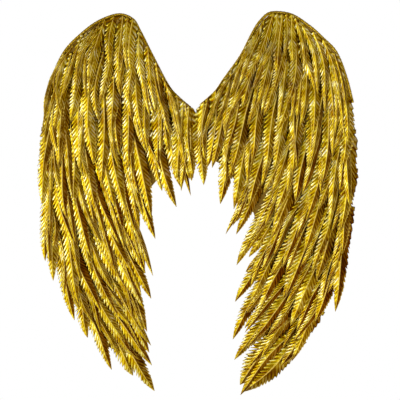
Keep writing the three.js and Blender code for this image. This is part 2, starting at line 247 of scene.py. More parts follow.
def makeLame():
    material, nodes, links, shader = newMaterial("goldLame")
    uv = addNode(nodes, "ShaderNodeUVMap", uv_map="cloth")
    place = nodes.new("ShaderNodeTexCoord")
    fold, rib, tone, shaded = [
        addNode(nodes, "ShaderNodeAttribute", attribute_name=name)
        for name in ("fold", "rib", "tone", "shaded")
    ]
    crinkle = addNode(nodes, "ShaderNodeTexNoise", {"Scale": lame["crinkleScale"], "Detail": 3})
    patches = addNode(nodes, "ShaderNodeTexNoise", {"Scale": lame["patchScale"]})
    crushed = addNode(nodes, "ShaderNodeTexNoise", {"Scale": lame["crushedScale"], "Detail": 3})
    links.new(uv.outputs["UV"], crinkle.inputs["Vector"])
    links.new(place.outputs["Object"], patches.inputs["Vector"])
    links.new(place.outputs["Object"], crushed.inputs["Vector"])

    # the folds' painted shade and highlight, lighter and darker with the crinkles, and with painted glints
    # and shade in patches where the cloth is crumpled
    paintedGlintEnds = {"From Min": 0.3, "From Max": 0.7, "To Min": -lame["paintedGlint"] / 2, "To Max": lame["paintedGlint"] / 2}
    paintedGlint = addNode(nodes, "ShaderNodeMapRange", paintedGlintEnds)
    links.new(crushed.outputs["Fac"], paintedGlint.inputs["Value"])
    crinkled = addNode(nodes, "ShaderNodeMath", {1: lame["crinkleShade"]}, operation="MULTIPLY_ADD")
    links.new(crinkle.outputs["Fac"], crinkled.inputs[0])
    links.new(fold.outputs["Fac"], crinkled.inputs[2])
    evened = addNode(nodes, "ShaderNodeMath", {1: lame["crinkleShade"] / 2}, operation="SUBTRACT")
    links.new(crinkled.outputs[0], evened.inputs[0])
    lifted = addNode(nodes, "ShaderNodeMath", operation="ADD")
    links.new(evened.outputs[0], lifted.inputs[0])
    links.new(paintedGlint.outputs["Result"], lifted.inputs[1])
    ramp = addRamp(nodes, lame["foldShadeAndHighlight"])
    links.new(lifted.outputs[0], ramp.inputs["Fac"])

    # painted shade in reddish-brown patches, more of them on some feathers than on others
    paintedShadePatchEnds = {"From Min": 0.5, "From Max": 0.68, "To Max": lame["paintedShadePatchAmount"]}
    paintedShadePatchRange = addNode(nodes, "ShaderNodeMapRange", paintedShadePatchEnds)
    links.new(patches.outputs["Fac"], paintedShadePatchRange.inputs["Value"])
    paintedShadePatchAmount = addNode(nodes, "ShaderNodeMath", operation="MULTIPLY")
    links.new(paintedShadePatchRange.outputs["Result"], paintedShadePatchAmount.inputs[0])
    links.new(tone.outputs["Fac"], paintedShadePatchAmount.inputs[1])
    paintedShadePatched = addNode(nodes, "ShaderNodeMix", data_type="RGBA")
    paintedShadePatched.inputs[7].default_value = (*lame["paintedShadePatch"], 1)
    links.new(paintedShadePatchAmount.outputs[0], paintedShadePatched.inputs[0])
    links.new(ramp.outputs["Color"], paintedShadePatched.inputs[6])

    # painted shade on the half that is turned down, and the pale ribs
    shadedAmount = addNode(nodes, "ShaderNodeMapRange", {"To Max": lame["shadedAmount"]})
    links.new(shaded.outputs["Fac"], shadedAmount.inputs["Value"])
    paintedShadeHalf = addNode(nodes, "ShaderNodeMix", data_type="RGBA", blend_type="MULTIPLY")
    paintedShadeHalf.inputs[7].default_value = (*lame["shaded"], 1)
    links.new(shadedAmount.outputs["Result"], paintedShadeHalf.inputs[0])
    links.new(paintedShadePatched.outputs[2], paintedShadeHalf.inputs[6])
    ribbed = addNode(nodes, "ShaderNodeMix", data_type="RGBA")
    ribbed.inputs[7].default_value = (*lame["rib"], 1)
    links.new(rib.outputs["Fac"], ribbed.inputs[0])
    links.new(paintedShadeHalf.outputs[2], ribbed.inputs[6])
    links.new(ribbed.outputs[2], shader.inputs["Base Color"])

    metal = addNode(nodes, "ShaderNodeMapRange", {"To Min": lame["metallic"], "To Max": 0.0})
    links.new(rib.outputs["Fac"], metal.inputs["Value"])
    links.new(metal.outputs["Result"], shader.inputs["Metallic"])
    smoothest, roughest = lame["roughness"]
    rough = addNode(nodes, "ShaderNodeMapRange", {"To Min": smoothest, "To Max": roughest})
    links.new(crinkle.outputs["Fac"], rough.inputs["Value"])
    links.new(rough.outputs["Result"], shader.inputs["Roughness"])
    shader.inputs["Specular Tint"].default_value = (*lame["edgeTint"], 1)
    addBump(nodes, links, shader, crinkle.outputs["Fac"], lame["crinkleBump"], lame["crinkleDepth"])
    return material


goldLame = makeLame()
print("materials made")

# one straight feather of pleated cloth for each length and each of a few hands' folds

feather = {
    "lengths": (0.120, 0.155, 0.195),
    "variants": 5,
    "narrowVariants": 2,
    "nominalHalf": 0.0135,  # half width that the pleats are laid out for
    "pleatPitch": 0.0093,
    "pleatHeight": 0.0015,
    "barbSlope": 1.7,  # how far a pleat runs tipward for each unit outwards
    "across": (0.0, 0.1, 0.3, 0.55, 0.8, 1.0),  # columns of points from the rib to the edge
    "profile": ((0.0, -1.0), (0.32, 0.2), (0.6, 1.0)),  # a pleat's height along its pitch
    "toothDepth": 0.45,  # how far the folded edge steps in between two pleats
    "ridge": 0.0082,  # height of the rib above the edges
    "narrowPleats": 0.9,
    "shadedPleats": 0.55,  # how much of a pleat's height the turned-down half has
    "ribRise": 0.0012,
    "hem": 0.85,  # how pale the bare edge near the tip is
    "cloth": 0.0007,  # thickness
    "overlap": 1.3,  # width over the room between two neighbours
}


def outlineWidth(t):  # share of the half width that a feather still has, t from root to tip
    places = [0, 0.12, 0.3, 0.56, 0.7, 0.8, 0.88, 0.95, 1.0]
    widths = [0.9, 1.0, 1.0, 1.0, 0.86, 0.66, 0.44, 0.2, 0.02]
    return np.interp(t, places, widths)


def ridgeHeight(t):  # share of the ridge, low where the next tier covers it
    return np.interp(t, [0, 0.2, 0.42, 0.58, 0.85, 1.0], [0.25, 0.35, 0.5, 0.95, 1.0, 0.6])


def makeFeather(length, variant, narrow=False):
    rng = np.random.default_rng(100 * variant + int(length * 1000) + (7 if narrow else 0))
    pleats = round(length / feather["pleatPitch"])
    steps = rng.uniform(0.8, 1.2, pleats)
    ends = np.concatenate([[0], np.cumsum(steps)]) / steps.sum()
    strength = rng.uniform(0.5, 1.3, pleats)
    starts, heights, teeth = [], [], []
    for k in range(pleats):
        for share, rise in feather["profile"]:
            starts.append(ends[k] + (ends[k + 1] - ends[k]) * share)
            heights.append(rise * strength[k] * (feather["narrowPleats"] if narrow else 1))
            tooth = 0
            if not narrow:
                tooth = feather["toothDepth"] * (0.5 - 0.5 * rise) * rng.uniform(0.35, 1.25)
                tooth += rng.uniform(0, 0.12)
            teeth.append(tooth)
    starts, heights, teeth = np.array(starts + [1.0]), np.array(heights + [0.0]), np.array(teeth + [0.0])
    fractions = np.array([-f for f in feather["across"][:0:-1]] + list(feather["across"]))
    rows, columns = len(starts), len(fractions)
    bpy.ops.mesh.primitive_grid_add(x_subdivisions=columns - 1, y_subdivisions=rows - 1, size=1)
    grid = bpy.context.object
    mesh = grid.data
    flat = np.array([v.co for v in mesh.vertices])
    column = np.rint((flat[:, 0] + 0.5) * (columns - 1)).astype(int)
    row = np.rint((0.5 - flat[:, 1]) * (rows - 1)).astype(int)  # row 0 is the root
    slope = feather["barbSlope"] * feather["nominalHalf"] / length * np.clip(starts / 0.22, 0.15, 1)
    edgeLeft, edgeRight = np.ones(rows), np.ones(rows)
    teeth = 1 - teeth * np.clip((0.97 - starts) / 0.25, 0, 1)  # the point itself is whole
    for _ in range(12):  # where each pleat meets the outline
        widthLeft = outlineWidth(np.minimum(starts + slope * edgeLeft, 1))
        widthRight = outlineWidth(np.minimum(starts + slope * edgeRight, 1))
        edgeLeft = 0.5 * edgeLeft + 0.5 * widthLeft * teeth
        edgeRight = 0.5 * edgeRight + 0.5 * widthRight * (0.5 + 0.5 * teeth)
    f = fractions[column]
    x = np.where(f < 0, edgeLeft[row], edgeRight[row]) * f
    t = np.minimum(starts[row] + slope[row] * np.abs(x), 1.0)
    inside = np.clip((np.abs(f) - 0.08) / 0.4, 0, 1)
    fade = inside * np.clip(outlineWidth(t) / 0.5, 0.25, 1)
    pleat = feather["pleatHeight"] * heights[row] * fade * np.where(f > 0, feather["shadedPleats"], 1)
    vault = 1 - np.abs(x) ** 1.25
    rib = (np.abs(f) < 0.01).astype(float)
    hemStart = np.where(f > 0, 0.3, 0.6) if narrow else 0.6
    hem = feather["hem"] * (np.abs(f) > 0.99) * np.clip((t - hemStart) / 0.12, 0, 1)
    z = feather["ridge"] * ridgeHeight(t) * vault * np.clip(outlineWidth(t) * 1.4, 0.3, 1)
    z = z + pleat + feather["ribRise"] * rib
    points = np.stack([x * feather["nominalHalf"], -t * length, z], axis=1)
    mesh.vertices.foreach_set("co", points.ravel())
    mesh.update()
    marks = {
        # where a point sits between a pleat's bottom and crest, which picks its painted shade or highlight
        "fold": 0.5 + 0.5 * heights[row] * np.clip(fade, 0, 1),
        "rib": rib + hem,
        # the right half of each feather, which takes the painted shade
        "shaded": np.clip(f / 0.1, 0, 1),
        "barb": starts[row] * length,
    }
    for name, values in marks.items():
        mesh.attributes.new(name, "FLOAT", "POINT").data.foreach_set("value", values.astype(np.float32))
    thick = grid.modifiers.new("thickness", "SOLIDIFY")
    thick.thickness = feather["cloth"]
    thick.offset = -1
    bpy.ops.object.modifier_apply(modifier="thickness")
    mesh = grid.data
    made = {
        "length": length,
        "points": np.array([v.co for v in mesh.vertices]),
        "faces": [tuple(p.vertices) for p in mesh.polygons],
    }
    for name in marks:
        values = np.zeros(len(mesh.vertices), np.float32)
        mesh.attributes[name].data.foreach_get("value", values)
        made[name] = values
    bpy.data.objects.remove(grid)
    return made


feathers, narrowFeathers = {}, {}
for length in feather["lengths"]:
    feathers[length] = [makeFeather(length, v) for v in range(feather["variants"])]
    narrowFeathers[length] = [makeFeather(length, v, True) for v in range(feather["narrowVariants"])]
print("feathers modelled")

# the tiers: a header band with copies of the feathers, each bent along its own midline

tierLook = {
    "ease": 0.35,  # share of its lean that a feather loses towards its tip
    "curl": 5,  # degrees that a tip turns towards the middle
    "stagger": 0.09,  # longer and shorter feathers alternate by this share
    "wander": 0.06,
    "unevenLength": 0.09,
    "unevenLean": 4.5,  # degrees
    "sweep": 9.0,  # degrees more towards the middle, for the feathers inside a lower tier
    "roll": (2.0, 7.0),  # degrees that a feather is turned, so that its left side lies on its neighbour
    "lift": 0.003,  # how far the tips stand off the cloth below
    "strayShare": 0.6,  # narrow feathers that lie over the joins between two others
    "strayLength": (0.72, 1.0),
    "strayLean": 7.0,
    "edgeStrays": ((0.3, 0.8), (0.1, 0.62), (-1.3, 0.92), (-1.05, 0.76)),  # place in the row, length
    "strayCurl": 12,
    "strayWidth": 0.7,
    "strayRise": 0.0028,
    "unevenWidth": 0.16,
    "sway": 0.008,  # how far a feather bows to one side
    "hook": 0.013,  # how far a tip turns in towards the middle
    "hookStart": 0.45,  # share of the length
    "edgeInset": 0.0025,  # of the cloth below the bound edge
    "tuck": 0.013,  # how far the cloth runs on above the root, up to the bound edge
    "longest": 1.15,  # the strip that a tier is cut from, over its longest nominal feather
    "cutAway": 0.2,  # share of the strip that is cut out between the tips
}


def joinedMesh(name, parts, material):
    points = np.concatenate([p["points"] for p in parts])
    faces, start = [], 0
    for p in parts:
        faces.extend(tuple(v + start for v in face) for face in p["faces"])
        start += len(p["points"])
    mesh = bpy.data.meshes.new(name)
    mesh.from_pydata(points.tolist(), [], faces)
    for key in ("fold", "rib", "shaded", "tone"):
        values = np.concatenate([np.broadcast_to(p[key], len(p["points"])) for p in parts])
        mesh.attributes.new(key, "FLOAT", "POINT").data.foreach_set("value", values.astype(np.float32))
    uv = np.concatenate([p["uv"] for p in parts])
    corners = np.array([loop.vertex_index for loop in mesh.loops])
    mesh.uv_layers.new(name="cloth").data.foreach_set("uv", uv[corners].astype(np.float32).ravel())
    mesh.materials.append(material)
    mesh.shade_smooth()
    mesh.update()
    thing = bpy.data.objects.new(name, mesh)
    bpy.context.scene.collection.objects.link(thing)
    return thing


def bezier(place, knee, tip, t):
    t = t[:, None]
    centre = (1 - t) ** 2 * place + 2 * t * (1 - t) * knee + t * t * tip
    tangent = 2 * (1 - t) * (knee - place) + 2 * t * (tip - knee)
    return centre, tangent / np.linalg.norm(tangent, axis=1)[:, None]


def bentFeather(wing, tier, index, rng, stray=0):  # stray is the share of the length, 0 for a full feather
    row = tiers[tier]
    t = index / (row["count"] - 1)
    place, lean = rootAt(wing, tier, t)
    uneven = (0.618 * index + 0.37 * tier + 0.21 * wing["phase"]) % 1 - 0.5
    turn = 1 if int(index + tier + wing["phase"]) % 2 else -1
    length = row["outLength"] + (row["inLength"] - row["outLength"]) * t
    length *= 1 + tierLook["stagger"] * turn + tierLook["wander"] * uneven
    length *= 1 + tierLook["unevenLength"] * rng.uniform(-1, 1)
    lean += tierLook["unevenLean"] * rng.uniform(-1, 1) * (0.35 + 0.65 * 4 * t * (1 - t))
    lean += tierLook["sweep"] * min(1, tier / 5) * 4 * t * (1 - t)
    if tier == lastTier:
        length *= wing["tipLength"]
    elif tier > 3:
        length *= 1 + (wing["innerLength"] - 1) * t * t
    if stray:
        length *= stray
        lean += tierLook["strayLean"] * rng.uniform(-1, 1)
    knee = place + hanging(lean) * length / 2
    curl = tierLook["strayCurl"] * rng.uniform(-0.3, 1) if stray else tierLook["curl"]
    tip = knee + hanging(lean * (1 - tierLook["ease"]) + curl) * length / 2
    nearest = min(feather["lengths"], key=lambda known: abs(known - length))
    pool = (narrowFeathers if stray else feathers)[nearest]
    master = pool[rng.integers(len(pool))]
    start = (knee - place) / np.linalg.norm(knee - place)
    reach = np.array([-start[1], start[0]])
    broad = tierLook["strayWidth"] if stray else feather["overlap"]
    halves = []
    for step in (-0.5, 0.5):  # to the outer and the inner neighbour
        beside, _ = rootAt(wing, tier, (index + step) / (row["count"] - 1))
        halves.append(abs((beside - place) @ reach) * broad)
    outerHalf, innerHalf = halves
    share = -master["points"][:, 1] / master["length"]
    x = master["points"][:, 0] / feather["nominalHalf"]  # to the viewer's right
    height = master["points"][:, 2].copy()
    tuck = tierLook["tuck"] / length
    along = np.clip(share, 0, 1) * (1 + tuck) - tuck
    leftHalf, rightHalf = (outerHalf, innerHalf) if wing["side"] < 0 else (innerHalf, outerHalf)
    aside = x * np.where(x < 0, leftHalf, rightHalf) * (1 + tierLook["unevenWidth"] * rng.uniform(-0.5, 1))
    aside = aside + tierLook["sway"] * rng.uniform(-1, 1) * np.sin(math.pi * along * rng.uniform(0.8, 1.6))
    side = wing["side"]
    hook = tierLook["hook"] * rng.uniform(-0.2, 1) * min(1, length / 0.16) * (1 - 0.7 * t)
    hooked = np.clip((along - tierLook["hookStart"]) / (1 - tierLook["hookStart"]), 0, 1) ** 2
    aside = aside - side * hook * hooked
    mirror = np.array([side, 1.0])
    centre, tangent = bezier(place * mirror, knee * mirror, tip * mirror, np.maximum(along, 0))
    centre = centre + tangent * length * np.minimum(along, 0)[:, None]
    across = np.stack([-tangent[:, 1], tangent[:, 0]], axis=1)
    rootWidth = np.interp(along, [-tuck, 0, 0.08], [0.25, 0.75, 1])
    flat = centre + across * (aside * rootWidth)[:, None]
    roll = math.tan(math.radians(rng.uniform(*tierLook["roll"])))
    depth = tier / lastTier
    height = height * rng.uniform(0.85, 1.15) * (0.7 + 0.3 * depth)
    height = height - aside * roll * np.clip(along / 0.5, 0, 1)
    height = height + (tierLook["strayRise"] if stray else 0) + rng.uniform(0, 0.0012)
    height = height + tierLook["lift"] * rng.uniform(0.2, 1) * np.clip(along - 0.6, 0, 1) ** 2 / 0.16
    out = np.abs(flat[:, 0])
    edge = wing["peak"] - wing["height"] * np.interp(out / wing["width"], wing["edgeOut"], wing["edgeDown"])
    under = out < wing["edgeOut"][-1] * wing["width"]  # gathered in under the bound edge
    flat[:, 1] = np.where(under, np.minimum(flat[:, 1], edge - tierLook["edgeInset"]), flat[:, 1])
    y = depthAt(wing, tier, out, flat[:, 1], height)
    points = np.stack([flat[:, 0], y, flat[:, 1]], axis=1)
    acrossCloth = 0.3 * x * feather["nominalHalf"] + 0.31 * tier
    uv = np.stack([master["barb"] + rng.uniform(0, 5), acrossCloth], axis=1)
    # more painted shade on the lower tiers, and more on some feathers than on others
    shaded = master["shaded"] * rng.uniform(0.5, 1.0) * (0.5 + 0.5 * min(1, 2.2 * depth))
    return {"points": points, "faces": master["faces"], "fold": master["fold"], "rib": master["rib"],
            "shaded": shaded, "tone": rng.uniform(0, 1), "uv": uv}


def headerBand(wing, tier):  # the flat band that the feathers of a tier are sewn to
    count = tiers[tier]["count"]
    points, faces = [], []
    steps = 6 * count
    for step in range(steps + 1):
        t = (step / steps * count - 0.5) / (count - 1)
        place, lean = rootAt(wing, tier, t)
        above = place - hanging(lean) * layout["headerHeight"]
        for (out, up), height in ((above, 0.0), (above, 0.0009), (place, 0.0009), (place, 0.0)):
            out = max(out, layout["middleGap"] / 2)
            points.append((wing["side"] * out, float(depthAt(wing, tier, out, up, height)), up))
    for step in range(steps):
        a, b = 4 * step, 4 * step + 4
        for k in range(4):
            m = (k + 1) % 4
            face = (a + k, b + k, b + m, a + m)
            faces.append(face if wing["side"] > 0 else face[::-1])
    ends = [(3, 2, 1, 0), (4 * steps, 4 * steps + 1, 4 * steps + 2, 4 * steps + 3)]
    faces += [face[::-1] if wing["side"] > 0 else face for face in ends]
    points = np.array(points)
    # the band sits low on the painted fold ramp and takes some painted shade
    return {"points": points, "faces": faces, "fold": 0.35, "rib": 0.0, "shaded": 0.4, "tone": 0.5,
            "uv": points[:, [0, 2]]}


def makeTier(side, tier):
    wing = wings[side]
    rng = np.random.default_rng(1000 * (wing["phase"] + 1) + tier)
    count = tiers[tier]["count"]
    parts = [bentFeather(wing, tier, index, rng) for index in range(count)]
    for index in range(count - 1):
        if rng.random() < tierLook["strayShare"] or tier == lastTier:
            parts.append(bentFeather(wing, tier, index + 0.5, rng, rng.uniform(*tierLook["strayLength"])))
    for index, share in tierLook["edgeStrays"]:  # short ones between the tips of two tiers
        if 1 < tier < lastTier - 1:
            parts.append(bentFeather(wing, tier, index % count, rng, share))
    parts.append(headerBand(wing, tier))
    thing = joinedMesh(f"{side}Tier{tier + 1:02d}Feathers", parts, goldLame)
    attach(thing, "root")
    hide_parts(f"{side}_tier_{tier + 1:02d}")
    return thing


tierPieces = [makeTier(side, tier) for side in wings for tier in range(len(tiers))]
print("tiers placed:", sum(len(t.data.polygons) for t in tierPieces), "faces")

# the felt that the tiers are sewn on, the panel between the shoulders, the bound edges and the arm loops

felt = {
    "dark": (0.20, 0.105, 0.012),
    "light": (0.42, 0.26, 0.055),
    "fibreScale": 900.0,
    "matScale": 160,
    "mat": 0.008,  # how far the fibres are bent
    "cloudScale": 26.0,
    "clouds": 0.6,  # how much the clouds lighten and darken the felt
    "bump": 0.6,
    "bumpDepth": 0.0005,
    "roughness": 0.95,
    "sheen": 0.35,
    "sheenRoughness": 0.6,
    "gloss": 0.15,
    "edgeRound": 0.0007,
}
stitch = {
    "length": 0.0036,
    "step": 0.0058,  # from one stitch to the next
    "radius": 0.0004,
    "rise": 0.00012,  # of its middle line off the cloth
    "twistScale": 2400.0,
    "roughness": 0.5,
    "dark": (0.34, 0.19, 0.02),
    "light": (0.72, 0.50, 0.13),
}


def makeFelt():
    material, nodes, links, shader = newMaterial("goldBrownFelt")
    place = nodes.new("ShaderNodeTexCoord")
    warp = addNode(nodes, "ShaderNodeTexNoise", {"Scale": felt["matScale"]})
    links.new(place.outputs["Object"], warp.inputs["Vector"])
    bent = addNode(nodes, "ShaderNodeVectorMath", {1: [felt["mat"]] * 3}, operation="MULTIPLY_ADD")
    links.new(warp.outputs["Color"], bent.inputs[0])
    links.new(place.outputs["Object"], bent.inputs[2])
    hairs = {"Scale": felt["fibreScale"], "Detail": 4, "Distortion": 2.5}
    fibres = addNode(nodes, "ShaderNodeTexNoise", hairs)  # matted, drawn out along the bent coordinates
    links.new(bent.outputs[0], fibres.inputs["Vector"])
    clouds = addNode(nodes, "ShaderNodeTexNoise", {"Scale": felt["cloudScale"], "Detail": 3})
    links.new(place.outputs["Object"], clouds.inputs["Vector"])
    both = addNode(nodes, "ShaderNodeMath", {1: felt["clouds"]}, operation="MULTIPLY_ADD")
    links.new(clouds.outputs["Fac"], both.inputs[0])
    links.new(fibres.outputs["Fac"], both.inputs[2])
    ramp = addRamp(nodes, [(0.5, felt["dark"]), (1.0, felt["light"])])
    links.new(both.outputs[0], ramp.inputs["Fac"])
    links.new(ramp.outputs["Color"], shader.inputs["Base Color"])
    shader.inputs["Roughness"].default_value = felt["roughness"]
    shader.inputs["Sheen Weight"].default_value = felt["sheen"]
    shader.inputs["Sheen Roughness"].default_value = felt["sheenRoughness"]
    shader.inputs["Specular IOR Level"].default_value = felt["gloss"]
    addBump(nodes, links, shader, fibres.outputs["Fac"], felt["bump"], felt["bumpDepth"])
    return material


def makeThread():
    material, nodes, links, shader = newMaterial("goldThread")
    place = nodes.new("ShaderNodeTexCoord")
    twist = addNode(nodes, "ShaderNodeTexNoise", {"Scale": stitch["twistScale"]})
    links.new(place.outputs["Object"], twist.inputs["Vector"])
    ramp = addRamp(nodes, [(0.3, stitch["dark"]), (0.7, stitch["light"])])
    links.new(twist.outputs["Fac"], ramp.inputs["Fac"])
    links.new(ramp.outputs["Color"], shader.inputs["Base Color"])
    shader.inputs["Roughness"].default_value = stitch["roughness"]
    return material


backingFelt = makeFelt()
goldThread = makeThread()


def nothingSelected():
    for thing in bpy.context.selected_objects:
        thing.select_set(False)


def stitchMaster():  # one stitch along X, of a few dozen faces
    nothingSelected()
    bpy.ops.mesh.primitive_uv_sphere_add(segments=6, ring_count=4, radius=1, rotation=(0, math.pi / 2, 0))
    made = bpy.context.object
    bpy.ops.object.transform_apply(location=False, rotation=True, scale=False)
    points = np.array([v.co for v in made.data.vertices])
    points *= (stitch["length"] / 2, stitch["radius"], stitch["radius"])
    faces = [tuple(p.vertices) for p in made.data.polygons]
    bpy.data.objects.remove(made)
    return points, faces


stitchPoints, stitchFaces = stitchMaster()


def stitchesAlong(run):  # the run is a list of points (x, z) on a rear face
    run = np.array(run)
    steps = np.linalg.norm(np.diff(run, axis=0), axis=1)
    reached = np.concatenate([[0], np.cumsum(steps)])
    count = int(reached[-1] / stitch["step"])
    at = (np.arange(count) + 0.5) * reached[-1] / max(count, 1)
    places = np.stack([np.interp(at, reached, run[:, k]) for k in (0, 1)], axis=1)
    ahead = np.stack([np.interp(at + 1e-4, reached, run[:, k]) for k in (0, 1)], axis=1)
    back = np.stack([np.interp(at - 1e-4, reached, run[:, k]) for k in (0, 1)], axis=1)
    way = ahead - back
    return places, way / np.linalg.norm(way, axis=1)[:, None]


def onlySelected(thing):
    nothingSelected()
    thing.select_set(True)
    bpy.context.view_layer.objects.active = thing


def editAll(thing, *steps):  # the mesh operators that are to act on the whole of the piece
    onlySelected(thing)
    bpy.ops.object.mode_set(mode="EDIT")
    bpy.ops.mesh.select_all(action="SELECT")
    for step in steps:
        step()
    bpy.ops.object.mode_set(mode="OBJECT")


def mergeDoubles():
    bpy.ops.mesh.remove_doubles(threshold=1e-5)


def mergeFlatFaces():
    bpy.ops.mesh.dissolve_limited(angle_limit=math.radians(0.5))


def turnOutwards():
    bpy.ops.mesh.normals_make_consistent(inside=False)


def addStitches(name, rows, y, under=None):  # a piece's stitches as one mesh, none beside the cloth under
    points, faces = [], []
    along, off, aside = stitchPoints.T
    for run in rows:
        for (x, z), (dx, dz) in zip(*stitchesAlong(run)):
            if under is not None and not under.ray_cast((x, 1, z), (0, -1, 0))[0]:
                continue
            base = len(points) * len(stitchPoints)
            placed = (x + dx * along - dz * aside, y + off, z + dz * along + dx * aside)
            points.append(np.stack(placed, axis=1))
            faces.extend(tuple(v + base for v in face) for face in stitchFaces)
    mesh = bpy.data.meshes.new(name)
    mesh.from_pydata(np.concatenate(points).tolist(), [], faces)
    mesh.materials.append(goldThread)
    mesh.shade_smooth()
    thing = bpy.data.objects.new(name, mesh)
    bpy.context.scene.collection.objects.link(thing)
    editAll(thing, turnOutwards)
    return thing


def copyOfNode(node, name):  # a merged copy of a CAD node's loose triangles, with its flat faces whole
    thing = bpy.data.objects.new(name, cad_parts[node].data.copy())
    bpy.context.scene.collection.objects.link(thing)
    thing.data.materials.clear()
    editAll(thing, mergeDoubles, mergeFlatFaces)
    return thing


def roundEdges(thing, width):
    bevel = thing.modifiers.new("roundedEdge", "BEVEL")
    bevel.width = width
    bevel.segments = 3
    bevel.limit_method = "ANGLE"
    bevel.angle_limit = math.radians(50)
    bpy.ops.object.modifier_apply(modifier="roundedEdge")
    bpy.ops.object.shade_smooth_by_angle(angle=math.radians(40))


def joinTo(thing, others):
    nothingSelected()
    for other in others:
        other.select_set(True)
    thing.select_set(True)
    bpy.context.view_layer.objects.active = thing
    bpy.ops.object.join()


def headerRun(wing, tier, up):  # the middle line of a tier's header band, as (x, z)
    run = []
    past = 0.5 / (tiers[tier]["count"] - 1)  # half a feather past the last one
    for t in np.linspace(-past, 1 + past, 40):
        place, lean = rootAt(wing, tier, t)
        place = place - hanging(lean) * up
        run.append((wing["side"] * place[0], place[1]))
    return run


def makeWingPanel(side):
    wing = wings[side]
    panel = copyOfNode(f"{side}_wing_panel", f"{side}WingFelt")
    panel.data.materials.append(backingFelt)
    roundEdges(panel, felt["edgeRound"])
    heights = [layout["headerHeight"] * share for share in (0.25, 0.75)]
    rows = [headerRun(wing, tier, up) for tier in range(len(tiers)) for up in heights]
    sewn = addStitches(f"{side}HeaderStitches", rows, stitch["rise"] - layout["panelRear"], under=panel)
    joinTo(panel, [sewn])
    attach(panel, "root")
    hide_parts(f"{side}_wing_panel")
    return panel


centre = {
    "half": 0.060,
    "top": 0.058,
    "height": 0.105,
    "corner": 0.020,
    "stitchInset": 0.0055,
    "stitchRows": 0.005,  # between the two rows round it
    "stitchSink": 0.0001,  # of a stitch's middle line in the felt
}


def roundedBorder(inset):  # the centre panel's outline, this far in
    half, high, corner = centre["half"], centre["top"], centre["corner"]
    low = high - centre["height"]
    reach = corner - inset
    run = []
    for side, level, start in ((1, high - corner, 0), (-1, high - corner, 90), (-1, low + corner, 180),
                               (1, low + corner, 270)):
        for step in range(9):
            angle = math.radians(start + 90 * step / 8)
            run.append((side * (half - corner) + reach * math.cos(angle), level + reach * math.sin(angle)))
    return run + [run[0]]


def makeCentrePanel():
    panel = copyOfNode("centre_panel", "centreFelt")
    panel.data.materials.append(backingFelt)
    roundEdges(panel, felt["edgeRound"])
    borders = [roundedBorder(centre["stitchInset"] + step) for step in (0, centre["stitchRows"])]
    sewn = addStitches("centreStitches", borders, -centre["stitchSink"])
    joinTo(panel, [sewn])
    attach(panel, "root")
    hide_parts("centre_panel")
    return panel


makeCentrePanel()
for side in wings:
    makeWingPanel(side)
print("felt cut and sewn")

binding = {
    "radius": 0.0033,
    "points": 260,
    "sides": 4,  # points in a quarter of the roll
    "seam": 0.0009,  # how far it is pressed against the felt
    "wrinkle": 0.00045,
    "wrinklePitch": 0.0048,
    # painted shade in the crinkles' hollows and painted highlight on their crests, by the same noise as the
    # bump
    "dark": (0.17, 0.075, 0.002),
    "middle": (0.45, 0.29, 0.012),
    "light": (0.88, 0.72, 0.20),
    "crinkleScale": 380.0,
    "crinkleBump": 0.4,
    "crinkleDepth": 0.0006,
    "roughness": 0.38,
}


def makeRoll():
    material, nodes, links, shader = newMaterial("goldRoll")
    place = nodes.new("ShaderNodeTexCoord")
    crinkle = addNode(nodes, "ShaderNodeTexNoise", {"Scale": binding["crinkleScale"], "Detail": 3})
    links.new(place.outputs["Object"], crinkle.inputs["Vector"])
    # painted shade and highlight along the crinkles
    ramp = addRamp(nodes, [(0.3, binding["dark"]), (0.5, binding["middle"]), (0.72, binding["light"])])
    links.new(crinkle.outputs["Fac"], ramp.inputs["Fac"])
    links.new(ramp.outputs["Color"], shader.inputs["Base Color"])
    shader.inputs["Metallic"].default_value = 1.0
    shader.inputs["Roughness"].default_value = binding["roughness"]
    addBump(nodes, links, shader, crinkle.outputs["Fac"], binding["crinkleBump"], binding["crinkleDepth"])
    return material


goldRoll = makeRoll()


def evenlyAlong(fine, count):  # points the same way apart on a finely divided run, and its length
    fine = np.array(fine)
    reached = np.concatenate([[0], np.cumsum(np.linalg.norm(np.diff(fine, axis=0), axis=1))])
    at = np.linspace(0, reached[-1], count)
    return np.stack([np.interp(at, reached, fine[:, k]) for k in range(fine.shape[1])], axis=1), reached[-1]


def catmullRom(controls):  # a smooth run through all the points
    controls = np.array(controls)
    ends = np.vstack([controls[0], controls, controls[-1]])
    fine = []
    for k in range(len(controls) - 1):
        a, b, c, d = ends[k:k + 4]
        for t in np.linspace(0, 1, 60, endpoint=k == len(controls) - 2):
            fine.append(0.5 * ((2 * b) + (c - a) * t + (2 * a - 5 * b + 4 * c - d) * t**2
                               + (3 * b - a - 3 * c + d) * t**3))
    return fine


def boundEdge(wing, count):  # the middle line of the roll, as (out, up), a radius inside the top edge
    edge = [(out * wing["width"], wing["peak"] - down * wing["height"])
            for out, down in zip(wing["edgeOut"], wing["edgeDown"])]
    run, _ = evenlyAlong(catmullRom(edge), count)
    way = np.gradient(run, axis=0)
    way /= np.linalg.norm(way, axis=1)[:, None]
    return run + np.stack([way[:, 1], -way[:, 0]], axis=1) * binding["radius"]


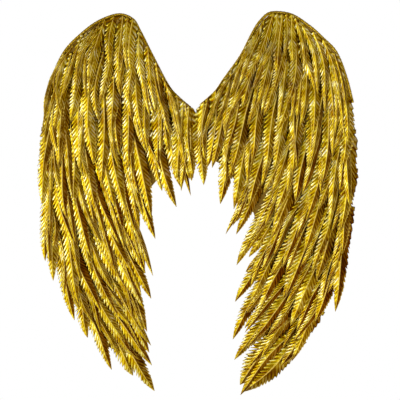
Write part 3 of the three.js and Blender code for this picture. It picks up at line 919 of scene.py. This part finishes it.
def makeBinding(side):
    wing = wings[side]
    rng = np.random.default_rng(77 + wing["phase"])
    run = boundEdge(wing, binding["points"])
    curve = bpy.data.curves.new(f"{side}EdgeRoll", "CURVE")
    curve.dimensions = "3D"
    curve.bevel_depth = binding["radius"]
    curve.bevel_resolution = binding["sides"]
    curve.use_fill_caps = True
    spline = curve.splines.new("POLY")
    spline.points.add(len(run) - 1)
    depth = binding["radius"] - layout["panelFront"]
    for point, (out, up) in zip(spline.points, run):
        point.co = (wing["side"] * out, depth, up, 1)
    roll = bpy.data.objects.new(f"{side}EdgeRoll", curve)
    bpy.context.scene.collection.objects.link(roll)
    onlySelected(roll)
    bpy.ops.object.convert(target="MESH")
    roll = bpy.context.object
    mesh = roll.data
    editAll(roll, mergeDoubles, turnOutwards)
    co = np.array([v.co for v in mesh.vertices])
    middle = np.stack([wing["side"] * run[:, 0], np.full(len(run), depth), run[:, 1]], axis=1)
    nearest = np.argmin(np.linalg.norm(co[:, None, :] - middle[None], axis=2), axis=1)
    off = co - middle[nearest]
    around = np.arctan2(off[:, 1], np.hypot(off[:, 0], off[:, 2]) * np.sign(off[:, 2] + 1e-9))
    length = np.concatenate([[0], np.cumsum(np.linalg.norm(np.diff(run, axis=0), axis=1))])[nearest]
    ripple = np.zeros(len(co))
    for _ in range(5):  # short gathers that run askew over the roll
        pitch = binding["wrinklePitch"] * rng.uniform(0.7, 2.2)
        ripple += np.sin(2 * math.pi * length / pitch + around * rng.integers(1, 3) + rng.uniform(0, 6)) / 5
    co += off * (binding["wrinkle"] / binding["radius"] * (ripple - 0.4))[:, None]
    way = np.gradient(run, axis=0)[nearest]
    way /= np.linalg.norm(way, axis=1)[:, None]
    inward = np.stack([wing["side"] * way[:, 1], np.zeros(len(co)), -way[:, 0]], axis=1)
    towards = np.clip((off * inward).sum(axis=1) / binding["radius"], 0, 1)
    co += inward * (binding["seam"] * towards)[:, None]  # sewn on, so it closes against the felt
    mesh.vertices.foreach_set("co", co.ravel())
    mesh.materials.clear()
    mesh.materials.append(goldRoll)
    mesh.shade_smooth()
    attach(roll, "root")
    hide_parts(f"{side}_edge_binding")
    return roll


for side in wings:
    makeBinding(side)
print("edges bound")

strap = {
    "width": 0.020,
    "thickness": 0.0015,
    "depth": 0.150,  # how far the loop stands off the back
    "tab": 0.024,  # length of a sewn end
    "middle": 0.074,  # from the middle line to the strap's
    "flat": -0.00225,  # depth of a sewn end's middle
    "topAnchor": 0.046,
    "lowAnchor": -0.038,
    "leave": 1.3,  # how high the loop leaves the felt and how high its round is,
    "round": 1.9,  # as shares of half the way between its two ends
    "cords": 9,  # rubber cords side by side in the weave
    "cordRise": 0.00016,
    "cream": (0.70, 0.62, 0.44),
    "shade": (0.42, 0.35, 0.21),
    "pick": 0.00075,  # from one weft thread to the next
    "boxHalf": 0.0065,  # half width of the sewn box
    "boxInset": 0.003,
    "sideRoom": 0.0004,  # how much narrower than its width the band is modelled
    "faceRoom": 0.0003,  # how much thinner, as room for its cords
    "stitchRise": 0.00005,  # of a stitch's middle line off the band
    "weaveBump": 0.5,
    "weaveDepth": 0.0003,
    "roughness": 0.85,
    "sheen": 0.2,
}


def makeElastic():
    material, nodes, links, shader = newMaterial("creamElastic")
    uv = addNode(nodes, "ShaderNodeUVMap", uv_map="cloth")
    metreWave = 0.314  # the scale at which a wave texture repeats once in a metre
    weft = {"Scale": metreWave / strap["pick"], "Distortion": 0.6, "Detail": 1}
    picks = addNode(nodes, "ShaderNodeTexWave", weft, bands_direction="Y")
    links.new(uv.outputs["UV"], picks.inputs["Vector"])
    ribs = {"Scale": metreWave * strap["cords"] * 2 / strap["width"]}
    cords = addNode(nodes, "ShaderNodeTexWave", ribs, bands_direction="X")
    links.new(uv.outputs["UV"], cords.inputs["Vector"])
    woven = addNode(nodes, "ShaderNodeMath", operation="MULTIPLY")
    links.new(picks.outputs["Fac"], woven.inputs[0])
    links.new(cords.outputs["Fac"], woven.inputs[1])
    ramp = addRamp(nodes, [(0.0, strap["shade"]), (0.7, strap["cream"])])
    links.new(woven.outputs[0], ramp.inputs["Fac"])
    links.new(ramp.outputs["Color"], shader.inputs["Base Color"])
    shader.inputs["Roughness"].default_value = strap["roughness"]
    shader.inputs["Sheen Weight"].default_value = strap["sheen"]
    addBump(nodes, links, shader, woven.outputs[0], strap["weaveBump"], strap["weaveDepth"])
    return material


creamElastic = makeElastic()


def strapRun(count):  # the loop's middle line as (y, z), from the top tab round to the low one
    flat, far = strap["flat"], strap["flat"] + strap["depth"]
    top, low = strap["topAnchor"], strap["lowAnchor"]
    middle = (top + low) / 2
    leave, turned = strap["leave"] * (top - middle), strap["round"] * (top - middle)
    fine = [(flat, z) for z in np.linspace(top - strap["tab"], top, 30, endpoint=False)]
    for bend in (
        ((flat, top), (flat, middle + leave), (far, middle + turned), (far, middle)),
        ((far, middle), (far, middle - turned), (flat, middle - leave), (flat, low)),
    ):
        a, b, c, d = (np.array(point) for point in bend)
        for t in np.linspace(0, 1, 120, endpoint=False):
            u = 1 - t
            fine.append(tuple(u**3 * a + 3 * t * u**2 * b + 3 * t**2 * u * c + t**3 * d))
    fine += [(flat, z) for z in np.linspace(low, low + strap["tab"], 30)]
    return evenlyAlong(fine, count)


def makeStrap(side):
    rows, columns = 170, 2 * strap["cords"] + 1
    run, length = strapRun(rows)
    nothingSelected()
    bpy.ops.mesh.primitive_grid_add(x_subdivisions=columns - 1, y_subdivisions=rows - 1, size=1)
    loop = bpy.context.object
    loop.name = loop.data.name = f"{side}ArmElastic"
    mesh = loop.data
    co = np.array([v.co for v in mesh.vertices])
    column = np.rint((co[:, 0] + 0.5) * (columns - 1)).astype(int)
    row = np.rint((co[:, 1] + 0.5) * (rows - 1)).astype(int)
    way = np.gradient(run, axis=0)
    way /= np.linalg.norm(way, axis=1)[:, None]
    away = np.stack([way[:, 1], -way[:, 0]], axis=1)[row]
    rise = strap["cordRise"] * np.where(column % 2 == 1, 1.0, -0.3)
    place = run[row] + away * rise[:, None]
    across = (column / (columns - 1) - 0.5) * (strap["width"] - strap["sideRoom"])
    x = wings[side]["side"] * strap["middle"] + across
    mesh.vertices.foreach_set("co", np.stack([x, place[:, 0], place[:, 1]], axis=1).ravel())
    mesh.uv_layers[0].name = "cloth"
    uv = np.zeros(len(mesh.loops) * 2)
    mesh.uv_layers["cloth"].data.foreach_get("uv", uv)
    uv = uv.reshape(-1, 2) * (strap["width"], length)
    mesh.uv_layers["cloth"].data.foreach_set("uv", uv.ravel())
    mesh.update()
    thick = loop.modifiers.new("thickness", "SOLIDIFY")
    thick.thickness = strap["thickness"] - strap["faceRoom"]
    thick.offset = 0
    bpy.ops.object.modifier_apply(modifier="thickness")
    editAll(loop, turnOutwards)
    bpy.ops.object.shade_smooth_by_angle(angle=math.radians(45))
    loop.data.materials.append(creamElastic)
    boxes = []  # a box of stitches with a cross in it on each sewn end
    middle, inset = wings[side]["side"] * strap["middle"], strap["boxInset"]
    near, far = middle - strap["boxHalf"], middle + strap["boxHalf"]
    for foot in (strap["topAnchor"] - strap["tab"], strap["lowAnchor"]):
        low, high = foot + inset, foot + strap["tab"] - inset
        boxes += [
            [(near, low), (far, low), (far, high), (near, high), (near, low)],
            [(near, low), (far, high)],
            [(far, low), (near, high)],
        ]
    sewnAt = strap["flat"] + strap["thickness"] / 2 + strap["stitchRise"]
    sewn = addStitches(f"{side}TabStitches", boxes, sewnAt)
    joinTo(loop, [sewn])
    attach(loop, "root")
    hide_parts(f"{side}_strap")
    return loop


for side in wings:
    makeStrap(side)
print("arm loops sewn on")

# the studio: white behind, one large soft key at the left, a pale floor under the tips

studio = {
    "floorHeight": -0.75,
    "worldSeen": (1.0, 1.0, 1.0),
    "worldTint": (1.0, 0.84, 0.28),
    "worldLight": 0.3,
    "floorRadius": 9.0,
    "floorPale": 0.86,  # how far from the middle the floor has faded to white
    "floorGlow": 0.42,
    "floorTint": (1.15, 1.04, 0.38),  # what the floor gives back to the cloth
    "key": {"place": (-2.5, -4.0, -0.5), "size": (3.4, 4.2), "power": 122.0},
    "back": {"place": (-1.2, 3.4, 1.2), "size": (2.6, 2.6), "power": 75.0},
    "fill": {"place": (1.4, -1.6, 1.0), "size": (1.6, 1.6), "power": 6.0},
}


def addArea(name, place, size, power):
    data = bpy.data.lights.new(name, "AREA")
    data.energy = power
    data.shape = "RECTANGLE"
    data.size, data.size_y = size
    lamp = bpy.data.objects.new(name, data)
    lamp.location = place
    towards = Vector((0, 0, -0.14)) - Vector(place)
    lamp.rotation_euler = towards.to_track_quat("-Z", "Y").to_euler()
    bpy.context.scene.collection.objects.link(lamp)


addArea("keyLight", **studio["key"])
addArea("fillLight", **studio["fill"])
addArea("backLight", **studio["back"])

world = bpy.data.worlds.new("studio")
bpy.context.scene.world = world
world.use_nodes = True
worldNodes, worldLinks = world.node_tree.nodes, world.node_tree.links
seen = worldNodes["Background"]
seen.inputs["Color"].default_value = (*studio["worldSeen"], 1)
dim = worldNodes.new("ShaderNodeBackground")
dim.inputs["Color"].default_value = (*studio["worldTint"], 1)
dim.inputs["Strength"].default_value = studio["worldLight"]
path = worldNodes.new("ShaderNodeLightPath")
either = worldNodes.new("ShaderNodeMixShader")
worldLinks.new(path.outputs["Is Camera Ray"], either.inputs["Fac"])
worldLinks.new(dim.outputs[0], either.inputs[1])
worldLinks.new(seen.outputs[0], either.inputs[2])
worldLinks.new(either.outputs[0], worldNodes["World Output"].inputs["Surface"])

bpy.ops.mesh.primitive_circle_add(
    vertices=96, radius=studio["floorRadius"], fill_type="NGON", location=(0, 0, studio["floorHeight"])
)
floor = bpy.context.object
floor.name = "floor"


def makeFloor():  # pale near the wings and white further off, and a warm light on the cloth
    material, nodes, links, shader = newMaterial("paleFloor")
    shader.inputs["Base Color"].default_value = (0.85, 0.85, 0.84, 1)
    shader.inputs["Roughness"].default_value = 0.7
    place = nodes.new("ShaderNodeTexCoord")
    distance = addNode(nodes, "ShaderNodeVectorMath", operation="LENGTH")
    links.new(place.outputs["Object"], distance.inputs[0])
    ends = {"From Min": 0.0, "From Max": studio["floorPale"]}
    fade = addNode(nodes, "ShaderNodeMapRange", ends, interpolation_type="SMOOTHSTEP")
    links.new(distance.outputs["Value"], fade.inputs["Value"])
    path = nodes.new("ShaderNodeLightPath")
    lift = addNode(nodes, "ShaderNodeMath", {1: studio["floorGlow"]}, operation="MULTIPLY")
    links.new(path.outputs["Is Camera Ray"], lift.inputs[0])
    lifted = addNode(nodes, "ShaderNodeEmission", {"Color": (1, 1, 1, 1)})  # for the camera only
    links.new(lift.outputs[0], lifted.inputs["Strength"])
    near = nodes.new("ShaderNodeAddShader")
    links.new(shader.outputs[0], near.inputs[0])
    links.new(lifted.outputs[0], near.inputs[1])
    tint = addNode(nodes, "ShaderNodeMix", data_type="RGBA")
    tint.inputs[6].default_value = (*studio["floorTint"], 1)
    tint.inputs[7].default_value = (1, 1, 1, 1)
    links.new(path.outputs["Is Camera Ray"], tint.inputs[0])
    far = addNode(nodes, "ShaderNodeEmission", {"Strength": 1.0})
    links.new(tint.outputs[2], far.inputs["Color"])
    either = nodes.new("ShaderNodeMixShader")
    links.new(fade.outputs["Result"], either.inputs["Fac"])
    links.new(near.outputs[0], either.inputs[1])
    links.new(far.outputs[0], either.inputs[2])
    links.new(either.outputs[0], nodes["Material Output"].inputs["Surface"])
    return material


floor.data.materials.append(makeFloor())
print("studio lit")
